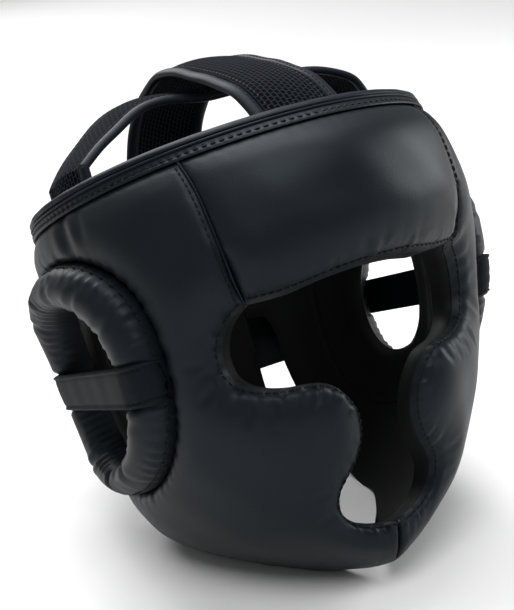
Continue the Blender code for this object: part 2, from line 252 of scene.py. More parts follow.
@dataclass(frozen=True)
class CoatedLeather:
    """Split leather with a polyurethane coat, pressed with a fine grain.

    The coat gives a smooth, nearly matt charcoal face with a wide, soft highlight.
    """

    name: str = "coated_leather"
    dark: str = "#0c1013"
    light: str = "#13181c"
    rough: float = 0.48
    grain_mm: float = 1.1
    grain_depth_mm: float = 0.035
    cloud_mm: float = 42.0
    ior: float = 1.5
    specular: float = 0.19
    sheen_tint: str = "#d6e4f2"

    def material(self) -> bpy.types.Material:
        """Build the finish."""
        material, tree, shader = new_material(self.name)
        place = add_node(tree, "ShaderNodeTexCoord").outputs["Object"]
        cloud = add_node(tree, "ShaderNodeTexNoise",
                         {"Vector": place, "Scale": 1 / (self.cloud_mm * MM), "Detail": 3.0})
        tone = add_node(tree, "ShaderNodeMix", {0: cloud.outputs["Fac"], 6: linear(self.dark),
                                                7: linear(self.light)}, data_type="RGBA")
        tree.links.new(tone.outputs[2], shader.inputs["Base Color"])
        gloss = add_node(tree, "ShaderNodeMapRange", {
            "Value": cloud.outputs["Fac"], "To Min": self.rough - 0.05, "To Max": self.rough + 0.06})
        tree.links.new(gloss.outputs[0], shader.inputs["Roughness"])
        # The pressed grain is finer than a pixel of the render, so it is drawn about twice as coarse
        cells = add_node(tree, "ShaderNodeTexVoronoi",
                         {"Vector": place, "Scale": 1 / (self.grain_mm * MM)}, feature="F1")
        pores = add_node(tree, "ShaderNodeTexNoise",
                         {"Vector": place, "Scale": 2.5 / (self.grain_mm * MM), "Detail": 2.0})
        relief = add_node(tree, "ShaderNodeMath", {0: cells.outputs["Distance"],
                                                   1: pores.outputs["Fac"]}, operation="ADD")
        bump = add_node(tree, "ShaderNodeBump", {
            "Height": relief.outputs[0], "Distance": self.grain_depth_mm * MM, "Strength": 0.8})
        tree.links.new(bump.outputs[0], shader.inputs["Normal"])
        shader.inputs["IOR"].default_value = self.ior
        shader.inputs["Specular IOR Level"].default_value = self.specular
        shader.inputs["Specular Tint"].default_value = linear(self.sheen_tint)
        return material


@dataclass(frozen=True)
class KnitLining:
    """Brushed polyester tricot, bonded to the foam; soft, black and almost without shine."""

    name: str = "knit_lining"
    dark: str = "#040506"
    light: str = "#090a0c"
    rough: float = 0.62
    thread_mm: float = 1.0

    def material(self) -> bpy.types.Material:
        """Build the finish."""
        material, tree, shader = new_material(self.name)
        place = add_node(tree, "ShaderNodeTexCoord").outputs["Object"]
        nap = add_node(tree, "ShaderNodeTexNoise",
                       {"Vector": place, "Scale": 1 / (self.thread_mm * MM), "Detail": 3.0})
        tone = add_node(tree, "ShaderNodeMix", {0: nap.outputs["Fac"], 6: linear(self.dark),
                                                7: linear(self.light)}, data_type="RGBA")
        tree.links.new(tone.outputs[2], shader.inputs["Base Color"])
        bump = add_node(tree, "ShaderNodeBump", {"Height": nap.outputs["Fac"],
                                                 "Distance": 0.04 * MM, "Strength": 0.7})
        tree.links.new(bump.outputs[0], shader.inputs["Normal"])
        shader.inputs["Roughness"].default_value = self.rough
        shader.inputs["Specular IOR Level"].default_value = 0.15
        return material


@dataclass(frozen=True)
class SpacerMesh:
    """Knitted polyester spacer fabric; its face has staggered rows of small open cells."""

    name: str = "spacer_mesh"
    yarn: str = "#252b34"
    # Painted shade: the open cells are coloured near black for the shade down inside them
    cell_shade: str = "#010102"
    cell_mm: float = 3.4
    row_mm: float = 2.5
    wall_mm: float = 0.50
    rough: float = 0.85

    def material(self) -> bpy.types.Material:
        """Build the finish; the strap's UV map is in millimetres."""
        material, tree, shader = new_material(self.name)
        place = add_node(tree, "ShaderNodeUVMap").outputs[0]
        # The cells take the painted shade colour and the walls between them take the yarn colour
        cells = add_node(tree, "ShaderNodeTexBrick", {
            "Vector": place, "Color1": linear(self.cell_shade), "Color2": linear(self.cell_shade),
            "Mortar": linear(self.yarn), "Scale": 1.0, "Mortar Size": self.wall_mm,
            "Mortar Smooth": 0.7, "Brick Width": self.cell_mm, "Row Height": self.row_mm})
        fuzz = add_node(tree, "ShaderNodeTexNoise", {"Vector": place, "Scale": 2.2, "Detail": 2.0})
        tone = add_node(tree, "ShaderNodeMix", {0: 0.25, 6: cells.outputs["Color"],
                                                7: fuzz.outputs["Color"]},
                        data_type="RGBA", blend_type="MULTIPLY")
        tree.links.new(tone.outputs[2], shader.inputs["Base Color"])
        relief = add_node(tree, "ShaderNodeMath", {0: cells.outputs["Fac"], 1: 1.0},
                          operation="MULTIPLY")
        bump = add_node(tree, "ShaderNodeBump", {"Height": relief.outputs[0],
                                                 "Distance": 0.6 * MM, "Strength": 1.0})
        tree.links.new(bump.outputs[0], shader.inputs["Normal"])
        shader.inputs["Roughness"].default_value = self.rough
        shader.inputs["Specular IOR Level"].default_value = 0.04
        return material


@dataclass(frozen=True)
class BondedThread:
    """Bonded nylon sewing thread, twisted and waxed; black, so darker than the lit leather."""

    name: str = "bonded_thread"
    colour: str = "#090b0e"
    rough: float = 0.6
    twist_mm: float = 0.7

    def material(self) -> bpy.types.Material:
        """Build the finish."""
        material, tree, shader = new_material(self.name)
        place = add_node(tree, "ShaderNodeTexCoord").outputs["Object"]
        twist = add_node(tree, "ShaderNodeTexWave",
                         {"Vector": place, "Scale": 1 / (self.twist_mm * MM) / 6.3},
                         bands_direction="DIAGONAL")
        bump = add_node(tree, "ShaderNodeBump", {"Height": twist.outputs["Fac"],
                                                 "Distance": 0.08 * MM, "Strength": 0.6})
        tree.links.new(bump.outputs[0], shader.inputs["Normal"])
        shader.inputs["Base Color"].default_value = linear(self.colour)
        shader.inputs["Roughness"].default_value = self.rough
        shader.inputs["Specular IOR Level"].default_value = 0.15
        return material


@dataclass(frozen=True)
class StudioPaper:
    """Seamless white paper roll under the object, dead matt."""

    name: str = "studio_paper"
    colour: str = "#e2e2e2"

    def material(self) -> bpy.types.Material:
        """Build the finish."""
        material, _, shader = new_material(self.name)
        shader.inputs["Base Color"].default_value = linear(self.colour)
        shader.inputs["Roughness"].default_value = 0.95
        return material


@dataclass
class Finishes:
    """The materials, each built once."""

    leather: bpy.types.Material = field(default_factory=lambda: CoatedLeather().material())
    strap: bpy.types.Material = field(default_factory=lambda: CoatedLeather(
        "strap_leather", rough=0.66, specular=0.08).material())
    rolled: bpy.types.Material = field(default_factory=lambda: CoatedLeather(
        "rolled_leather", dark="#0d1117", light="#161b22", rough=0.50, specular=0.12).material())
    lining: bpy.types.Material = field(default_factory=lambda: KnitLining().material())
    mesh: bpy.types.Material = field(default_factory=lambda: SpacerMesh().material())
    thread: bpy.types.Material = field(default_factory=lambda: BondedThread().material())


def make_piece(name: str, points: np.ndarray, faces: Sequence[Sequence[int]],
               materials: Sequence[bpy.types.Material],
               stands_for: Sequence[str] = (), kinds: np.ndarray | None = None,
               uv: np.ndarray | None = None, sharp: float = 48.0) -> bpy.types.Object:
    """Make one piece of the dressed object and tie it to the frame.

    Args:
        name: The piece's name.
        points: Vertices at rest, in metres.
        faces: Vertex numbers of each face.
        materials: The piece's finishes.
        stands_for: Frame nodes that the piece replaces.
        kinds: Number of the finish for each face.
        uv: Two values for each vertex.
        sharp: Edges that turn by more than this many degrees stay sharp.

    Returns:
        The new object.
    """
    mesh = bpy.data.meshes.new(name)
    mesh.from_pydata(np.asarray(points).tolist(), [], [list(map(int, f)) for f in faces])
    for material in materials:
        mesh.materials.append(material)
    if kinds is not None:
        mesh.polygons.foreach_set("material_index", np.asarray(kinds, dtype=np.int32))
    if uv is not None:
        layer = mesh.uv_layers.new(name="UVMap")
        loops = np.zeros(len(mesh.loops), dtype=np.int32)
        mesh.loops.foreach_get("vertex_index", loops)
        layer.data.foreach_set("uv", np.asarray(uv, dtype=np.float32)[loops].ravel())
    mesh.validate()
    mesh.shade_smooth()
    mesh.set_sharp_from_angle(angle=math.radians(sharp))
    item = bpy.data.objects.new(name, mesh)
    bpy.context.scene.collection.objects.link(item)
    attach(item, "root")
    if stands_for:
        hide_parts(*stands_for)
    LOG.info("%s: %d faces", name, len(mesh.polygons))
    return item


def sweep(rings: np.ndarray, closed: bool) -> tuple[np.ndarray, list[tuple[int, ...]]]:
    """Skin a row of section rings.

    Args:
        rings: Rings of points, all turning the same way.
        closed: Whether the last ring joins the first.

    Returns:
        Vertices and outward faces.
    """
    turns, sides = rings.shape[:2]
    faces: list[tuple[int, ...]] = []
    for k in range(turns if closed else turns - 1):
        for j in range(sides):
            there = ((k + 1) % turns) * sides
            faces.append((k * sides + j, k * sides + (j + 1) % sides,
                          there + (j + 1) % sides, there + j))
    if not closed:
        faces.append(tuple(range(sides - 1, -1, -1)))
        faces.append(tuple(range((turns - 1) * sides, turns * sides)))
    points = rings.reshape(-1, 3)
    quads = np.array([f for f in faces if len(f) == 4])
    corner = points[quads]
    volume = np.einsum("ij,ij->i", corner[:, 0], np.cross(corner[:, 1], corner[:, 2])).sum()
    volume += np.einsum("ij,ij->i", corner[:, 0], np.cross(corner[:, 2], corner[:, 3])).sum()
    return points, faces if volume > 0 else [f[::-1] for f in faces]


def arc_lengths(path: np.ndarray) -> np.ndarray:
    """Distance along a path at each of its points."""
    steps = np.linalg.norm(np.diff(path, axis=0), axis=1)
    return np.concatenate([[0.0], np.cumsum(steps)])


def resample(path: np.ndarray, places: np.ndarray) -> np.ndarray:
    """Points of a path at distances along it."""
    run = arc_lengths(path)
    return np.stack([np.interp(places, run, path[:, k]) for k in range(path.shape[1])], axis=1)


@dataclass(frozen=True)
class Stitching:
    """A lockstitch row; each stitch is a short capsule of thread half sunk in the leather."""

    pitch: float = 0.0036
    length: float = 0.0029
    thickness: float = 0.00042
    lift: float = 0.00005

    def sew(self, name: str, path: np.ndarray, out: np.ndarray,
            thread: bpy.types.Material) -> bpy.types.Object:
        """Sew one row.

        Args:
            name: The row's name.
            path: Points on the surface, at rest.
            out: The surface's outward direction at each point.
            thread: The thread's finish.

        Returns:
            The row of stitches.
        """
        run = arc_lengths(path)
        count = max(2, int(run[-1] / self.pitch))
        places = (np.arange(count) + 0.5) * run[-1] / count
        middle = resample(path, places)
        normal = unit(np.stack([np.interp(places, run, out[:, k]) for k in range(3)], axis=1))
        ahead = unit(resample(path, np.minimum(places + 0.0005, run[-1]))
                     - resample(path, np.maximum(places - 0.0005, 0.0)))
        across = unit(np.cross(ahead, normal))
        profile = ((-0.5, 0.35), (-0.3, 1.0), (0.3, 1.0), (0.5, 0.35))
        turn = np.linspace(0, 2 * math.pi, 6, endpoint=False)
        points, faces = [], []
        for k in range(count):
            start = len(points) * 6
            for place, swell in profile:
                centre = middle[k] + ahead[k] * place * self.length
                centre = centre + normal[k] * (self.lift - (1 - swell) * self.thickness)
                points.append(centre + self.thickness * swell * (
                    np.cos(turn)[:, None] * across[k] + np.sin(turn)[:, None] * normal[k]))
            base = start
            for r in range(3):
                for j in range(6):
                    a, b = base + r * 6 + j, base + r * 6 + (j + 1) % 6
                    faces.append((a, a + 6, b + 6, b))
            faces.append(tuple(base + j for j in range(6)))
            faces.append(tuple(base + 18 + j for j in range(5, -1, -1)))
        return make_piece(name, np.concatenate(points), faces, [thread])


def tube(name: str, path: np.ndarray, out: np.ndarray, wide: float, high: float,
         material: bpy.types.Material, closed: bool = False,
         stands_for: Sequence[str] = (), sides: int = 14) -> bpy.types.Object:
    """A rolled strip or piping along a path.

    Args:
        name: The piece's name.
        path: Its centreline, at rest.
        out: Outward direction at each point.
        wide: Width along the surface.
        high: Height out of the surface.
        material: Its finish.
        closed: Whether the path is a loop.
        stands_for: Frame nodes that it replaces.
        sides: Points round the section.

    Returns:
        The new object.
    """
    if closed:
        ahead = unit(np.roll(path, -1, axis=0) - np.roll(path, 1, axis=0))
    else:
        ahead = unit(np.gradient(path, axis=0))
    across = unit(np.cross(ahead, out))
    normal = unit(np.cross(across, ahead))
    turn = np.linspace(0, 2 * math.pi, sides, endpoint=False)
    rings = (path[:, None] + across[:, None] * np.cos(turn)[None, :, None] * wide / 2
             + normal[:, None] * np.sin(turn)[None, :, None] * high / 2)
    points, faces = sweep(rings, closed)
    return make_piece(name, points, faces, [material], stands_for)


@dataclass(frozen=True)
class Fold:
    """A crease in a padded face: its two ends as angle in degrees and drop share, and its size."""

    start: tuple[float, float]
    end: tuple[float, float]
    depth: float = 0.0016
    width: float = 0.0030
    shoulder: float = 0.35

    def height(self, flat: np.ndarray, shell: Shell, side: Side) -> np.ndarray:
        """How far the crease moves the face outward at each flat point.

        Args:
            flat: Points on the unrolled shell.
            shell: The shell.
            side: The wearer's side.

        Returns:
            Heights in metres.
        """
        ends = shell.flat([(*self.start, 0, 0), (*self.end, 0, 0)], side)[:, :2]
        run = ends[1] - ends[0]
        long = float(np.hypot(*run))
        share = np.clip(((flat - ends[0]) @ run) / long**2, 0, 1)
        away = np.hypot(*(flat - ends[0] - share[:, None] * run).T) / self.width
        taper = np.sin(math.pi * np.clip(share * 0.9 + 0.05, 0, 1)) ** 0.5
        return self.depth * taper * (self.shoulder * np.exp(-((away - 1.7) ** 2)) - np.exp(-away**2))


@dataclass(frozen=True)
class Belt:
    """A strap's bed: the band in which a tight strap presses a pad down."""

    drops: tuple[float, float] = (0.0925, 0.0770)
    angles: tuple[float, float] = (57.4, 130.7)
    tall: float = 0.0205
    depth: float = 0.0030
    fade: float = 0.0035

    def height(self, flat: np.ndarray, shell: Shell, side: Side) -> np.ndarray:
        """Height of the bed at each point of the unrolled shell, below zero."""
        angle = np.degrees(side.value * flat[:, 0] / shell.arc_radius)
        share = (angle - self.angles[0]) / (self.angles[1] - self.angles[0])
        top = self.drops[0] + (self.drops[1] - self.drops[0]) * share
        away = np.abs(-flat[:, 1] - top - self.tall / 2) - self.tall / 2
        ends = np.clip(np.minimum(share, 1 - share) / 0.10, 0, 1)
        return -self.depth * ends * (1 - np.clip(away / self.fade, 0, 1)) ** 2


@dataclass(frozen=True)
class EdgeRow:
    """A sewn row that follows a pad's outline from one of its rows to another, -1 for all round."""

    name: str
    first: int
    last: int
    inset: float = 0.0026
    groove: float = 0.0005


@dataclass
class Pad:
    """One padded panel of the shell, with its seams, creases and puckers."""

    name: str
    outline: Sequence[Row]
    side: Side = Side.LEFT
    holes: Sequence[Sequence[Row]] = ()
    full: float = 1.0
    folds: Sequence[Fold | Belt] = ()
    rows: Sequence[EdgeRow] = ()
    pucker: float = 0.0006
    pucker_pitch: float = 0.0125
    seam_pucker: float = 0.0005
    swell: float = 0.0005
    wall_bulge: float = 0.0
    step: float = 0.0016
    cell: float = 0.0019
    edge_rows: Sequence[float] = (0.0006, 0.0014, 0.0024, 0.0036, 0.0050)
    seed: float = 0.0

    def curved(self, rows: np.ndarray, corner: float = 62.0) -> np.ndarray:
        """A closed outline through the rows, rounded except where it turns sharply.

        Args:
            rows: Outline rows in metres.
            corner: Turns above this many degrees stay corners.

        Returns:
            Rows about one step apart.
        """
        chord = np.roll(rows, -1, axis=0) - rows
        length = np.hypot(chord[:, 0], chord[:, 1])
        way = chord[:, :2] / length[:, None]
        before = np.roll(way, 1, axis=0)
        blend = unit(way + before)
        sharp = np.degrees(np.arccos(np.clip((way * before).sum(axis=1), -1, 1))) > corner
        leave = np.where(sharp[:, None], way, blend)
        arrive = np.where(sharp[:, None], before, blend)
        out = []
        for k, reach in enumerate(length):
            after = (k + 1) % len(rows)
            steps = max(1, round(float(reach) / self.step))
            for t in np.arange(steps) / steps:
                spot = ((2 * t**3 - 3 * t**2 + 1) * rows[k, :2] + (t**3 - 2 * t**2 + t) * reach * leave[k]
                        + (3 * t**2 - 2 * t**3) * rows[after, :2] + (t**3 - t**2) * reach * arrive[after])
                edge = rows[k, 2:] + (rows[after, 2:] - rows[k, 2:]) * t
                out.append(np.concatenate([spot, edge]))
        return np.array(out)

    @staticmethod
    def inward(loop: np.ndarray) -> np.ndarray:
        """Unit directions in the flat from an outline to its own inner side."""
        run = unit(np.roll(loop[:, :2], -1, axis=0) - np.roll(loop[:, :2], 1, axis=0))
        x, y = loop[:, 0], loop[:, 1]
        area = (x * np.roll(y, -1) - np.roll(x, -1) * y).sum()
        return math.copysign(1.0, area) * np.stack([-run[:, 1], run[:, 0]], axis=1)

    @staticmethod
    def within(points: np.ndarray, loop: np.ndarray) -> np.ndarray:
        """Which points lie inside a closed outline."""
        hit = np.zeros(len(points), dtype=bool)
        for (x0, y0), (x1, y1) in zip(loop[:, :2], np.roll(loop[:, :2], -1, axis=0)):
            if y0 != y1:
                crosses = (y0 > points[:, 1]) != (y1 > points[:, 1])
                hit ^= crosses & (points[:, 0] < x0 + (points[:, 1] - y0) * (x1 - x0) / (y1 - y0))
        return hit

    @staticmethod
    def nearest(points: np.ndarray, edge: np.ndarray) -> tuple[np.ndarray, np.ndarray]:
        """Distance to the nearest outline point, and its number, for each point."""
        tree = KDTree(len(edge))
        for k, spot in enumerate(edge):
            tree.insert((spot[0], spot[1], 0.0), k)
        tree.balance()
        found = [tree.find((p[0], p[1], 0.0)) for p in points]
        return np.array([f[2] for f in found]), np.array([f[1] for f in found])

    def filling(self, loops: Sequence[np.ndarray]) -> np.ndarray:
        """Points inside the panel: rows along its outlines, then a staggered grid."""
        edge = np.concatenate(loops)
        rows = []
        for offset in self.edge_rows:
            for number, loop in enumerate(loops):
                way = 1 if number == 0 else -1
                row = loop[:, :2] + way * offset * self.inward(loop)
                rows.append(row[self.nearest(row, edge)[0] > offset * 0.93])
        low, high = loops[0][:, :2].min(axis=0), loops[0][:, :2].max(axis=0)
        levels = np.arange(low[1], high[1], self.cell * 0.87)
        across = np.arange(low[0], high[0], self.cell)
        grid = np.array([(x + (k % 2) * self.cell / 2, y) for k, y in enumerate(levels) for x in across])
        grid = grid[self.nearest(grid, edge)[0] > self.edge_rows[-1] + self.cell * 0.6]
        points = np.concatenate([*rows, grid])
        keep = self.within(points, loops[0])
        for cell_shade in loops[1:]:
            keep &= ~self.within(points, cell_shade)
        return points[keep]

    def pillow(self, points: np.ndarray, edge: np.ndarray) -> np.ndarray:
        """Thickness share: the edge's own share, rolling up to the full one."""
        out = []
        for part in np.array_split(points, max(1, len(points) // 3000)):
            away = np.hypot(part[:, None, 0] - edge[None, :, 0], part[:, None, 1] - edge[None, :, 1])
            rise = np.sqrt(1 - (1 - np.clip(away / edge[None, :, 3], 0, 1)) ** 2)
            out.append((edge[None, :, 2] + (self.full - edge[None, :, 2]) * rise).min(axis=1))
        return np.concatenate(out)

    @staticmethod
    def relaxed(values: np.ndarray, cells: np.ndarray, fixed: int, rounds: int = 10) -> np.ndarray:
        """Smooth a value over the mesh, keeping the first vertices as they are."""
        pairs = np.concatenate([cells[:, [0, 1]], cells[:, [1, 2]], cells[:, [2, 0]]])
        pairs = np.concatenate([pairs, pairs[:, ::-1]])
        degree = np.bincount(pairs[:, 0], minlength=len(values))
        for _ in range(rounds):
            total = np.bincount(pairs[:, 0], weights=values[pairs[:, 1]], minlength=len(values))
            mean = total / np.maximum(degree, 1)
            values = np.concatenate([values[:fixed], 0.4 * values[fixed:] + 0.6 * mean[fixed:]])
        return values

    def relief(self, flat: np.ndarray, away: np.ndarray, run: np.ndarray, edge: np.ndarray,
               shell: Shell) -> np.ndarray:
        """Height of puckers, soft swells, grooves and creases on the outer face.

        Args:
            flat: Points on the unrolled shell.
            away: Distance to the nearest outline point.
            run: Distance along the outline of that point.
            edge: That outline point's own row.
            shell: The shell.

        Returns:
            Heights in metres.
        """
        free = edge[:, 2] < 0.55
        size = np.where(free, self.pucker, self.seam_pucker)
        pitch = np.where(free, self.pucker_pitch, 0.0075)
        reach = np.where(free, 0.0075, 0.0035)
        wander = 1.5 * np.sin(run / 0.0171 + self.seed) + 1.1 * np.sin(run / 0.0467 + 2 * self.seed)
        wave = 0.5 + 0.5 * np.sin(2 * math.pi * run / pitch + wander)
        strength = 0.55 + 0.45 * np.sin(run / 0.029 + 3 * self.seed)
        height = -size * strength * wave**2 * np.exp(-away / reach) * (1 - np.exp(-away / 0.0012))
        u, v = flat[:, 0], flat[:, 1]
        height += self.swell * np.clip(away / 0.02, 0, 1) * (
            np.sin(u / 0.0130 + 1.3 * np.sin(v / 0.017) + self.seed)
            * np.sin(v / 0.0158 + 0.8 * np.sin(u / 0.021)) + 0.45 * np.sin(u / 0.0061 + v / 0.0083))
        for fold in self.folds:
            height += fold.height(flat, shell, self.side)
        return height

    def build(self, shell: Shell, finishes: Finishes) -> bpy.types.Object:
        """Build the panel and its sewn rows.

        Args:
            shell: The shell.
            finishes: The materials.

        Returns:
            The panel.
        """
        loops = [self.curved(shell.flat(rows, self.side)) for rows in (self.outline, *self.holes)]
        edge = np.concatenate(loops)
        flat = np.concatenate([edge[:, :2], self.filling(loops)])
        links, start = [], 0
        for loop in loops:
            links += [(start + k, start + (k + 1) % len(loop)) for k in range(len(loop))]
            start += len(loop)
        result = delaunay_2d_cdt([tuple(p) for p in flat], links, [], 0, 1e-7)
        flat, cells = np.array([tuple(p) for p in result[0]]), np.array(result[2])
        middle = flat[cells].mean(axis=1)
        keep = self.within(middle, loops[0])
        for cell_shade in loops[1:]:
            keep &= ~self.within(middle, cell_shade)
        cells = cells[keep]
        run = np.concatenate([arc_lengths(loop[:, :2]) for loop in loops])
        away, close = self.nearest(flat, edge)
        share = self.relaxed(self.pillow(flat, edge), cells, len(edge))
        angle, drop = flat[:, 0] / shell.arc_radius, -flat[:, 1]
        thick = shell.thickness(angle, drop)
        height = self.relief(flat, away, run[close], edge[close], shell)
        for row in self.rows:
            lies = self.between(row, loops[0], shell)[np.minimum(close, len(loops[0]) - 1)]
            lies &= close < len(loops[0])
            height -= np.where(lies, row.groove * np.exp(-(((away - row.inset) / 0.0009) ** 2)), 0)
        outer = shell.head_point(angle, drop, share + height / thick)
        lining_swell = 0.0012 * np.clip(away / 0.02, 0, 1) * (
            0.5 + 0.5 * np.sin(flat[:, 0] / 0.019 + self.seed) * np.sin(flat[:, 1] / 0.016))
        lining = shell.head_point(angle, drop, 0.02 * np.clip(1 - away / 0.004, 0, 1) + lining_swell / thick)
        points, faces, kinds = self.joined(outer, lining, cells, loops, share, shell)
        piece = make_piece(self.name, shell.rest(points), faces, [finishes.leather, finishes.lining],
                           [self.name], kinds)
        self.sew_rows(loops[0], edge, shell, finishes)
        return piece

    def joined(self, outer: np.ndarray, lining: np.ndarray, cells: np.ndarray,
               loops: Sequence[np.ndarray], share: np.ndarray,
               shell: Shell) -> tuple[np.ndarray, list[tuple[int, ...]], list[int]]:
        """Join the outer face and the lining with a wall that is pinched at its seam.

        Args:
            outer: Outer vertices.
            lining: Lining vertices, in the same order.
            cells: Triangles of both faces.
            loops: The outlines, whose points come first.
            share: Thickness share at each vertex.
            shell: The shell.

        Returns:
            Vertices, faces and the number of each face's finish.
        """
        count = len(outer)
        levels = ((0.965, 0.0006), (0.90, 0.0002), (0.5, 0.0), (0.1, 0.0002))
        soft = ((0.97, 0.4), (0.85, 0.8), (0.55, 1.0), (0.25, 0.8), (0.06, 0.3))
        points = [outer, lining]
        faces = [tuple(c) for c in cells]
        kinds = [0] * len(cells)
        faces += [tuple(c[::-1] + count) for c in cells]
        kinds += [1] * len(cells)
        total, start = 2 * count, 0
        for number, loop in enumerate(loops):
            size = len(loop)
            own = np.arange(start, start + size)
            way = 1 if number == 0 else -1
            rings = [own]
            bulges = number > 0 and self.wall_bulge > 0
            for level, pinch in ([(deep, -self.wall_bulge * part) for deep, part in soft]
                                 if bulges else levels):
                spot = loop[:, :2] + way * pinch * self.inward(loop)
                points.append(shell.head_point(spot[:, 0] / shell.arc_radius, -spot[:, 1],
                                               share[own] * level))
                rings.append(np.arange(total, total + size))
                total += size
            rings.append(own + count)
            edge_faces = []
            for upper, lower in zip(rings, rings[1:]):
                edge_faces += [(upper[k], lower[k], lower[(k + 1) % size], upper[(k + 1) % size])
                               for k in range(size)]
            x, y = loop[:, 0], loop[:, 1]
            turns_left = (x * np.roll(y, -1) - np.roll(x, -1) * y).sum() > 0
            if turns_left == (number == 0):
                faces += edge_faces
            else:
                faces += [f[::-1] for f in edge_faces]
            kinds += [0] * size + [1] * (len(edge_faces) - size)
            start += size
        return np.concatenate(points), faces, kinds

    def between(self, row: EdgeRow, loop: np.ndarray, shell: Shell) -> np.ndarray:
        """Which outline points a sewn row runs along."""
        if row.last < 0:
            return np.ones(len(loop), dtype=bool)
        ends = shell.flat([self.outline[row.first], self.outline[row.last]], self.side)
        first, last = (int(np.hypot(*(loop[:, :2] - end[:2]).T).argmin()) for end in ends)
        order = np.arange(len(loop))
        return (order >= first) & (order <= last)

    def sew_rows(self, loop: np.ndarray, edge: np.ndarray, shell: Shell, finishes: Finishes) -> None:
        """Sew the rows that follow the outline."""
        for row in self.rows:
            lies = self.between(row, loop, shell)
            spot = (loop[:, :2] + row.inset * self.inward(loop))[lies]
            path, out = self.on_surface(spot, edge, shell, -row.groove * 0.8)
            Stitching().sew(f"{self.name}_stitches_{row.name}", path, out, finishes.thread)

    def on_surface(self, spot: np.ndarray, edge: np.ndarray, shell: Shell,
                   lift: float) -> tuple[np.ndarray, np.ndarray]:
        """Points on the outer face at rest, with its outward directions.

        Args:
            spot: Points on the unrolled shell.
            edge: The panel's outline points.
            shell: The shell.
            lift: Distance out of the face.

        Returns:
            The points and the directions.
        """
        angle, drop = spot[:, 0] / shell.arc_radius, -spot[:, 1]
        depth = self.pillow(spot, edge) + lift / shell.thickness(angle, drop)
        here = shell.rest(shell.head_point(angle, drop, depth))
        grid = []
        for du, dv in ((0.0006, 0.0), (-0.0006, 0.0), (0.0, 0.0006), (0.0, -0.0006)):
            moved = spot + (du, dv)
            grid.append(shell.rest(shell.head_point(
                moved[:, 0] / shell.arc_radius, -moved[:, 1], self.pillow(moved, edge))))
        out = unit(np.cross(grid[0] - grid[1], grid[2] - grid[3]))
        out *= np.sign((out * shell.outward(angle, drop)).sum(axis=1))[:, None]
        return here, out


def oval_rows(oval: Row, lip: float, roll: float, shrink: float = 0.0, count: int = 60,
              shell: Shell = Shell()) -> list[Row]:
    """Outline rows of an oval round the ear.

    Args:
        oval: Centre angle, half angle, centre drop, half height and power.
        lip: Thickness share at the edge.
        roll: Roll distance as a share of the shell's.
        shrink: Distance by which the oval is smaller.
        count: Number of rows.
        shell: The shell.

    Returns:
        The rows.
    """
    middle, half, drop, tall, power = oval
    turn = np.linspace(0, 2 * math.pi, count, endpoint=False)
    wave = [np.sign(f(turn)) * np.abs(f(turn)) ** (2 / power) for f in (np.cos, np.sin)]
    angle = middle + (half - math.degrees(shrink / shell.arc_radius)) * wave[0]
    down = drop + (tall - shrink / shell.height) * wave[1]
    return [(float(a), float(d), lip, roll) for a, d in zip(angle, down)]


@dataclass
class BrowPad:
    """The pad across the brow, with its two piped seams to the side panels."""

    # Angle in degrees, drop / height, edge thickness share, roll share; the other half mirrors it
    half: tuple[Row, ...] = (
        (0.0, 0.0491, 0.85, 0.4), (20.0, 0.0491, 0.85, 0.4), (38.0, 0.0491, 0.85, 0.4),
        (36.9, 0.134, 0.88, 0.3), (35.7, 0.246, 0.88, 0.3), (34.5, 0.366, 0.50, 0.8),
        (24.0, 0.371, 0.42, 1.0), (12.0, 0.364, 0.42, 1.0), (0.0, 0.361, 0.42, 1.0),
    )
    # Angle in degrees and drop / height down the seam
    seam: tuple[Row, ...] = ((38.1, 0.048), (37.0, 0.134), (35.8, 0.246), (34.9, 0.345), (34.6, 0.366))
    piping: float = 0.0011

    def build(self, shell: Shell, finishes: Finishes) -> None:
        """Build the pad and its piping."""
        outline = list(self.half) + [(-a, d, lip, roll) for a, d, lip, roll in self.half[-2:0:-1]]
        pad = Pad("forehead_pad", outline, rows=(EdgeRow("lower_edge", 5, 11, inset=0.0016, groove=0.0003),),
                  folds=(Fold((-30, 0.31), (-33.5, 0.355), 0.0008, 0.0022),
                         Fold((31, 0.30), (33.5, 0.35), 0.0008, 0.0022)), seed=0.4)
        pad.build(shell, finishes)
        table = np.array(self.seam)
        drop = np.linspace(table[0, 1], table[-1, 1], 60)
        lip = smooth(drop, np.array((0.048, 0.134, 0.246, 0.33, 0.366)),
                     np.array((0.87, 0.885, 0.875, 0.70, 0.50)))
        for side in Side:
            angle = side.value * np.radians(smooth(drop, table[:, 1], table[:, 0]))
            down = drop * shell.height
            depth = lip + 0.0007 / shell.thickness(angle, down)
            path = shell.rest(shell.head_point(angle, down, depth))
            tube(f"brow_seam_piping_{side.name.lower()}", path, shell.outward(angle, down),
                 self.piping, self.piping, finishes.rolled)


